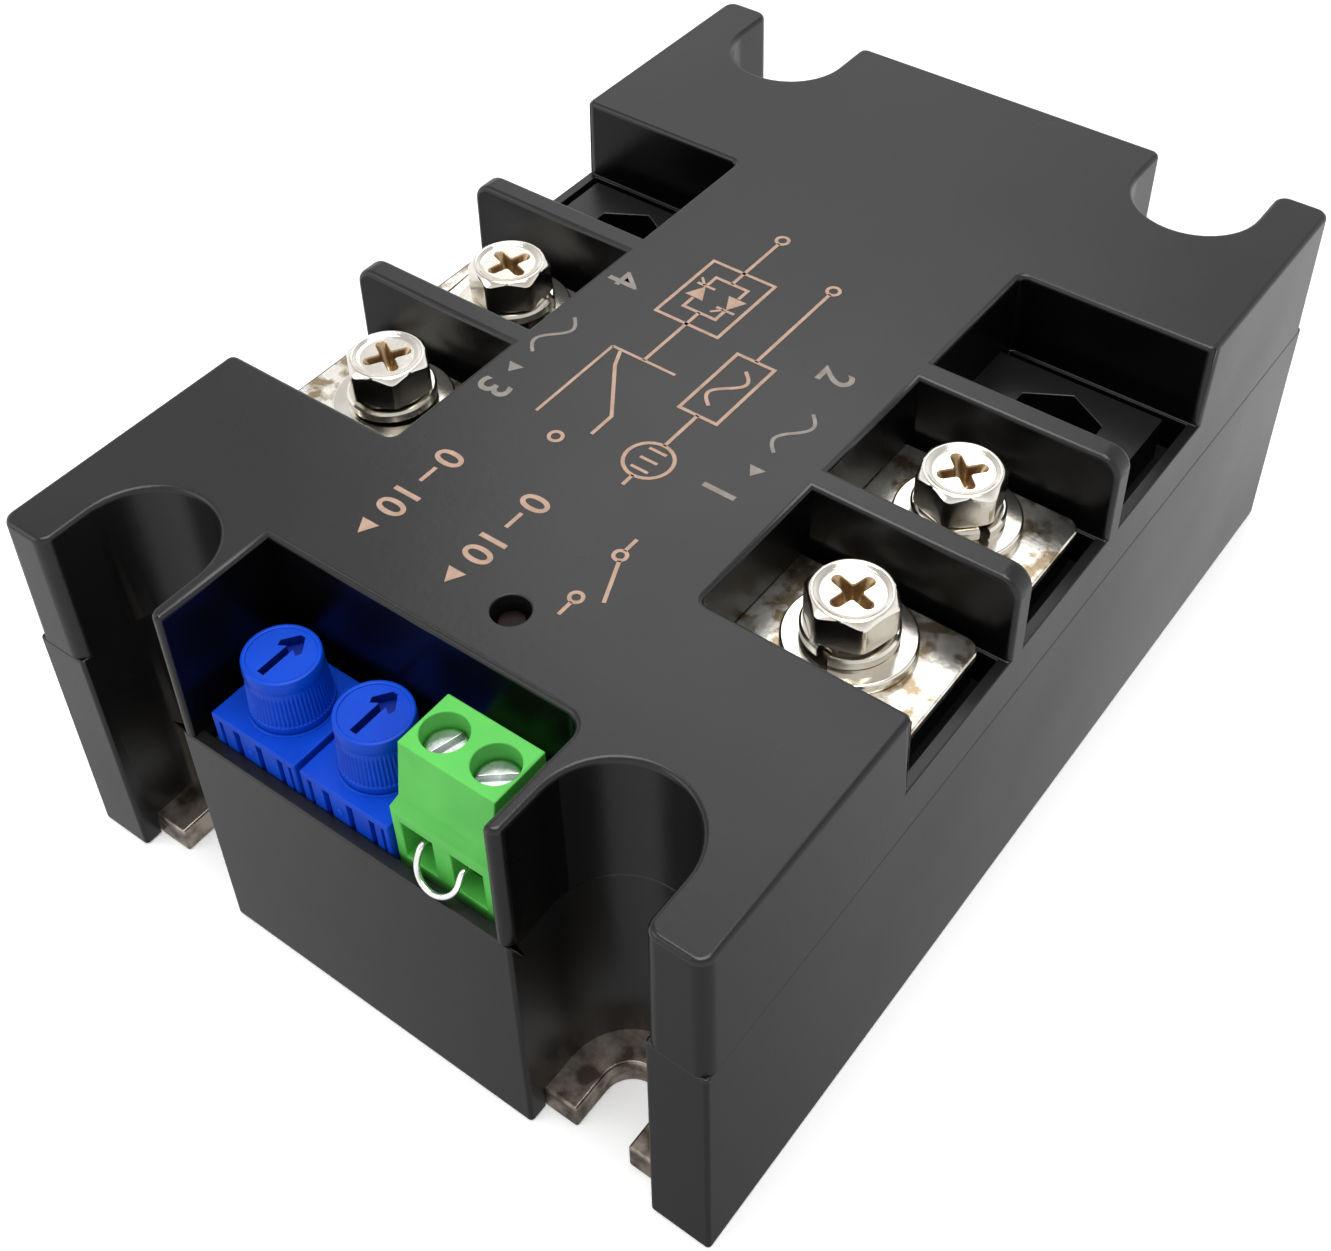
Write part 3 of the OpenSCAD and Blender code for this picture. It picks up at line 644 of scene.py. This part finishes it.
def trimmer_body():
    """Square body; its front face has grooves and a small moulding nub."""
    half, height = TRIMMER_HALF, TRIMMER_TOP - TRIMMER_Z
    body = box((-half, -half, 0), (half, half, height), 0.16)
    grooves = []
    for middle, width, depth in ((-3.75, 0.45, 0.35), (-1.95, 0.75, 0.55), (0.60, 0.70, 0.55),
                                 (3.00, 0.62, 0.55), (4.15, 0.35, 0.35)):
        grooves.append(box((half - depth, middle - width / 2, -0.5),
                           (half + 1, middle + width / 2, height - 0.55)))
    bore = skin([circle(2.6, z, 64) for z in (1.5, height + 1)])
    slot = box((-half - 1, -half - 1, -1), (-half + 0.3, half + 1, 0.5))
    body = cut(body, bore, *grooves, slot)
    collar = skin([circle(r, z, 64) for r, z in
                   ((2.62, -0.3), (3.75, -0.3), (3.75, 0.06), (3.68, 0.12), (2.62, 0.12))],
                  closed=True)
    nub = skin([circle(r, z, 16) for r, z in ((0.34, -0.2), (0.34, 0.05), (0.24, 0.14))])
    nub.transform(Matrix.Translation((half, -0.55, 2.7)) @ Matrix.Rotation(math.pi / 2, 4, "Y"))
    return joined(body, moved(collar, z=height), nub)


def add_trimmers():
    for number, y in enumerate(TRIMMER_Y, 1):
        piece(f"trimmer_case_{number}", moved(trimmer_body(), TRIMMER_X, y, TRIMMER_Z), "case",
              "trimmer_blue", f"trimmer_body_{number}")
        piece(f"knob_{number}", moved(knob(), TRIMMER_X, y, KNOB_Z), f"trimmer_knob_{number}",
              "trimmer_blue", f"trimmer_knob_{number}", recess="arrow_painted_shade_blue")


# ---------------------------------------------------------------- terminal block

def clamp_screw(turn, low):
    """Slotted cheese head on a plain shank with a dog point, from its seat upwards."""
    rings = [circle(r, z, 72) for r, z in
             ((0.87, low), (0.95, low + 0.1), (0.95, -3.07), (1.42, -3.07), (1.5, -2.97),
              (1.5, 0.0), (1.80, 0.0), (1.85, 0.06), (1.85, 0.62),
              (1.80, 0.78), (1.66, 0.88), (1.50, 0.90))]
    slot = moved(box((-3, -0.3, 0.30), (3, 0.3, 2.0)), turn=turn)
    return rounded(cut(skin(rings), slot), 0.05, lambda e, m: 1.0 if m.z > 0.4 else 0.0, 2)


def link_path():
    """Wire legs come out of both entries, bend down and join in a half circle."""
    half, bend, fall, slant = 2.1, 0.8, 60, 0.5
    leg_x, end_x = 50.0, 44.0
    one_leg = [(x, half, 0) for x in (end_x, 45, 46, 47, 48, 49, leg_x)]
    for a in range(10, fall + 1, 10):
        t = math.radians(a)
        one_leg.append((leg_x + bend * math.sin(t), half, -bend * (1 - math.cos(t))))
    x0, _, z0 = one_leg[-1]
    dx, dz = math.cos(math.radians(fall)), -math.sin(math.radians(fall))
    arc = []
    for a in range(0, 181, 10):
        t = math.radians(a)
        reach = slant + half * math.sin(t)
        arc.append((x0 + dx * reach, half * math.cos(t), z0 + dz * reach))
    other_leg = [(x, -y, z) for x, y, z in one_leg[::-1]]
    return [(x, BLOCK_Y + y, WIRE_Z + z) for x, y, z in one_leg + arc + other_leg]


def add_block():
    housing = cad_shape("block_housing")
    for v in housing.verts:
        if v.co.z > BLOCK_TOP_FROM and abs(abs(v.co.y - BLOCK_Y) - BLOCK_HALF) < 0.01:
            v.co.y -= math.copysign(BLOCK_TOP_INSET, v.co.y - BLOCK_Y)
        if abs(v.co.x - BLOCK_BROW[0]) < 0.02 and abs(v.co.z - BLOCK_BROW[1]) < 0.02:
            v.co.x, v.co.z = BLOCK_BROW_TO
        elif abs(v.co.x - BLOCK_LIP_X) < 0.02:
            v.co.x = BLOCK_LIP_TO

    def block_edge(edge, middle):
        """Rounds the front, the back and the upper part, which leaves out the inner rooms."""
        return 1.0 if middle.x > 47.9 or middle.z > 31.5 or middle.x < 43 else 0.0

    piece("block_case", rounded(housing, 0.14, block_edge), "case", "block_green",
          "block_housing")
    for number, (y, turn) in enumerate(CLAMPS, 1):
        screw = moved(clamp_screw(turn, CLAMP_LOW), BLOCK_X, y, CLAMP_SEAT)
        piece(f"clamp_head_{number}", screw, f"clamp_screw_{number}", "zinc_steel",
              f"clamp_screw_{number}")
    piece("wire_loop", tube(link_path(), WIRE_R), "case", "tinned_wire", "wire_link")


# ---------------------------------------------------------------- printed marks

def stroke(points, width=LINE_W, closed=False):
    """Flat printed line along a path."""
    path = [Vector(p) for p in points]
    count = len(path)
    bm = bmesh.new()
    rows = []
    for i, p in enumerate(path):
        before = path[i - 1] if closed or i else None
        after = path[(i + 1) % count] if closed or i < count - 1 else None
        a = (p - before).normalized() if before is not None else (after - p).normalized()
        b = (after - p).normalized() if after is not None else a
        normal = Vector((-a.y - b.y, a.x + b.x)).normalized()
        reach = width / 2 / max(0.4, normal.dot(Vector((-a.y, a.x))))
        low, high = p - normal * reach, p + normal * reach
        rows.append([bm.verts.new((q.x, q.y, z)) for q, z in
                     ((low, 0), (high, 0), (high, PRINT_H), (low, PRINT_H))])
    pairs = list(zip(rows, rows[1:])) + ([(rows[-1], rows[0])] if closed else [])
    for r, s in pairs:
        for i in range(4):
            j = (i + 1) % 4
            bm.faces.new((r[i], r[j], s[j], s[i]))
    if not closed:
        bm.faces.new(rows[0][::-1])
        bm.faces.new(rows[-1])
    bmesh.ops.recalc_face_normals(bm, faces=bm.faces)
    return bm


def label(text, x, y, height):
    """Number centred at a place on the cover."""
    cap_share = 0.70    # height of a figure as a share of the font's size
    curve = bpy.data.curves.new("label", "FONT")
    curve.body, curve.size = text, height / cap_share
    curve.align_x, curve.align_y = "CENTER", "CENTER"
    curve.extrude, curve.offset = PRINT_H / 2, 0.05
    bm = applied(object_of(curve, "label"))
    bmesh.ops.remove_doubles(bm, verts=bm.verts, dist=1e-4)
    return moved(bm, x, y, PRINT_H / 2)


def rectangle(x0, y0, x1, y1):
    return stroke([(x0, y0), (x1, y0), (x1, y1), (x0, y1)], closed=True)


def ring_mark(x, y, radius):
    steps = 28
    turns = [2 * math.pi * i / steps for i in range(steps)]
    return stroke([(x + radius * math.cos(t), y + radius * math.sin(t)) for t in turns],
                  closed=True)


def wave(x, y, length, height):
    """One period of a sine wave, centred at a place on the cover."""
    steps = 24
    return stroke([(x + length * (i / steps - 0.5),
                    y + height / 2 * math.sin(2 * math.pi * i / steps))
                   for i in range(steps + 1)])


def filled(points):
    """Filled printed shape."""
    return skin([[(x, y, z) for x, y in points] for z in (0, PRINT_H)])


def thyristor(x, y, size, facing):
    """Triangle and bar of a thyristor symbol, with its gate line."""
    s = size / 2
    return [filled([(x - facing * s, y - s), (x + facing * s * 0.9, y), (x - facing * s, y + s)]),
            stroke([(x + facing * s, y - s), (x + facing * s, y + s)], THIN_LINE_W),
            stroke([(x + facing * s, y - s * 0.2), (x + facing * s * 1.9, y - s * 1.1)], 0.26)]


def add_markings():
    marks = []
    # first pole: round terminal, box with anti-parallel thyristors, line to the ramp graph
    y = FIRST_LINE_Y
    marks += [ring_mark(-17.0, y, 0.6), stroke([(-16.4, y), (-10.6, y)])]
    marks += [rectangle(-10.6, -8.4, -1.4, -1.4)]
    marks += thyristor(-6.0, -3.1, 2.0, 1) + thyristor(-6.0, -6.7, 2.0, -1)
    marks += [stroke([(-10.6, y), (-8.6, y)]), stroke([(-3.4, y), (-1.4, y)]),
              stroke([(-7.1, -3.1), (-8.6, -3.1), (-8.6, -6.7), (-7.1, -6.7)]),
              stroke([(-4.9, -3.1), (-3.4, -3.1), (-3.4, -6.7), (-4.9, -6.7)])]
    marks += [stroke([(-1.4, y), (5.0, y)])]
    # ramp graph
    marks += [stroke([(5.0, -8.4), (5.0, -1.4)], THIN_LINE_W),
              stroke([(5.0, -8.4), (15.8, -8.4)], THIN_LINE_W),
              stroke([(5.2, -7.4), (7.0, -6.6), (12.6, -2.6), (15.4, -2.6)])]
    marks += [ring_mark(17.4, y, 0.6)]
    # second pole and load
    y = SECOND_LINE_Y
    marks += [ring_mark(-13.2, y, 0.6), stroke([(-12.6, y), (-0.6, y)]),
              rectangle(-0.6, 1.4, 8.2, 5.4), wave(3.8, y, 5.6, 2.2),
              stroke([(8.2, y), (13.0, y)]), ring_mark(15.2, y, 2.2),
              stroke([(17.4, y), (18.8, y)])]
    for x in (13.9, 15.2, 16.5):
        marks.append(stroke([(x, 2.5), (x, 4.3)], THIN_LINE_W))
    # dial ranges
    for y in (-10.6, -1.2):
        marks += [label("0", 24.8, y, 2.7), stroke([(26.3, y), (28.3, y)], 0.38),
                  label("10", 31.0, y, 2.7)]
        marks += [filled([(34.2, y - 0.9), (35.8, y), (34.2, y + 0.9)])]
    # switch symbol
    marks += [ring_mark(25.4, 8.3, 0.55), stroke([(25.9, 8.6), (30.2, 10.4)]),
              ring_mark(31.0, 8.3, 0.55), stroke([(23.2, 8.3), (24.8, 8.3)]),
              stroke([(31.6, 8.3), (33.2, 8.3)])]
    piece("cover_marks", moved(joined(*marks), z=TOP_Z - PRINT_SINK), "case", "case_black",
          material="marking_tan")
    numbers = [label("1", 14.8, 10.2, 3.2), label("2", -2.9, 10.2, 3.2),
               label("3", 15.6, -13.6, 3.2), label("4", -3.4, -13.6, 3.2)]
    sides = [wave(5.3, 11.4, 6.0, 2.0), wave(6.8, -13.8, 6.0, 2.0),
             filled([(10.6, 10.6), (11.8, 11.4), (10.6, 12.2)]),
             filled([(12.0, -14.6), (13.2, -13.8), (12.0, -13.0)])]
    piece("terminal_marks", moved(joined(*numbers, *sides), z=TOP_Z - PRINT_SINK), "case",
          "case_black", material="marking_grey")


# ---------------------------------------------------------------- inner parts, floor and light

def finish_cad_nodes():
    """Gives each CAD node that still shows the finish of its material slot."""
    slots = {part["node"]: part["material_slot"] for part in frame["record"]["subparts"]}
    for name, obj in frame["nodes"].items():
        if obj.hide_render:
            continue
        obj.data.materials.clear()
        obj.data.materials.append(MATERIALS[slots[name]])


def add_floor():
    mesh = bpy.data.meshes.new("floor")
    size = 3.0
    mesh.from_pydata([(-size, -size, 0), (size, -size, 0), (size, size, 0), (-size, size, 0)], [],
                     [(0, 1, 2, 3)])
    mesh.materials.append(MATERIALS["floor_white"])
    floor = object_of(mesh, "floor")
    floor.visible_glossy = floor.visible_diffuse = False
    glow = MATERIALS["floor_white"].node_tree.nodes["Principled BSDF"]
    glow.inputs["Emission Color"].default_value = (1, 1, 1, 1)
    glow.inputs["Emission Strength"].default_value = 0.25


def add_area_light(name, place, target, size, power):
    data = bpy.data.lights.new(name, "AREA")
    data.shape, data.size, data.size_y = "RECTANGLE", size[0], size[1]
    data.energy = power
    light = bpy.data.objects.new(name, data)
    light.location = place
    light.rotation_mode = "QUATERNION"
    light.rotation_quaternion = (Vector(place) - Vector(target)).to_track_quat("Z", "Y")
    bpy.context.scene.collection.objects.link(light)


def add_light():
    """White room, brightest half way up, over ground that is dark near the object."""
    world = bpy.data.worlds.new("studio")
    world.use_nodes = True
    tree = world.node_tree
    direction = tree.nodes.new("ShaderNodeSeparateXYZ")
    tree.links.new(tree.nodes.new("ShaderNodeTexCoord").outputs["Generated"], direction.inputs[0])
    product = tree.nodes.new("ShaderNodeMath")
    product.operation = "MULTIPLY"
    below = spread(tree, direction.outputs["Z"], (-0.95, -0.55), 0.09, 1.1)
    above = spread(tree, direction.outputs["Z"], (0.25, 0.80), 1.0, 0.52)
    tree.links.new(below, product.inputs[0])
    tree.links.new(above, product.inputs[1])
    background = tree.nodes["Background"]
    tree.links.new(product.outputs["Value"], background.inputs["Strength"])
    background.inputs["Color"].default_value = (1.0, 1.0, 1.0, 1)
    bpy.context.scene.world = world
    add_area_light("top", (0.02, 0.03, 0.90), (0, 0, 0.03), (0.60, 0.60), 6.4)
    add_area_light("back", (-0.54, -0.36, 0.78), (0, 0, 0.03), (0.40, 0.40), 0.95)
    add_area_light("side", (0.55, -0.45, 0.45), (0, 0, 0.02), (0.5, 0.5), 1.2)


add_camera()
MATERIALS = {name: add_material(name, **finish) for name, finish in FINISHES.items()}
add_case()
add_terminals()
add_trimmers()
add_block()
add_markings()
finish_cad_nodes()
add_floor()
add_light()
bpy.context.scene.view_settings.view_transform = "Standard"
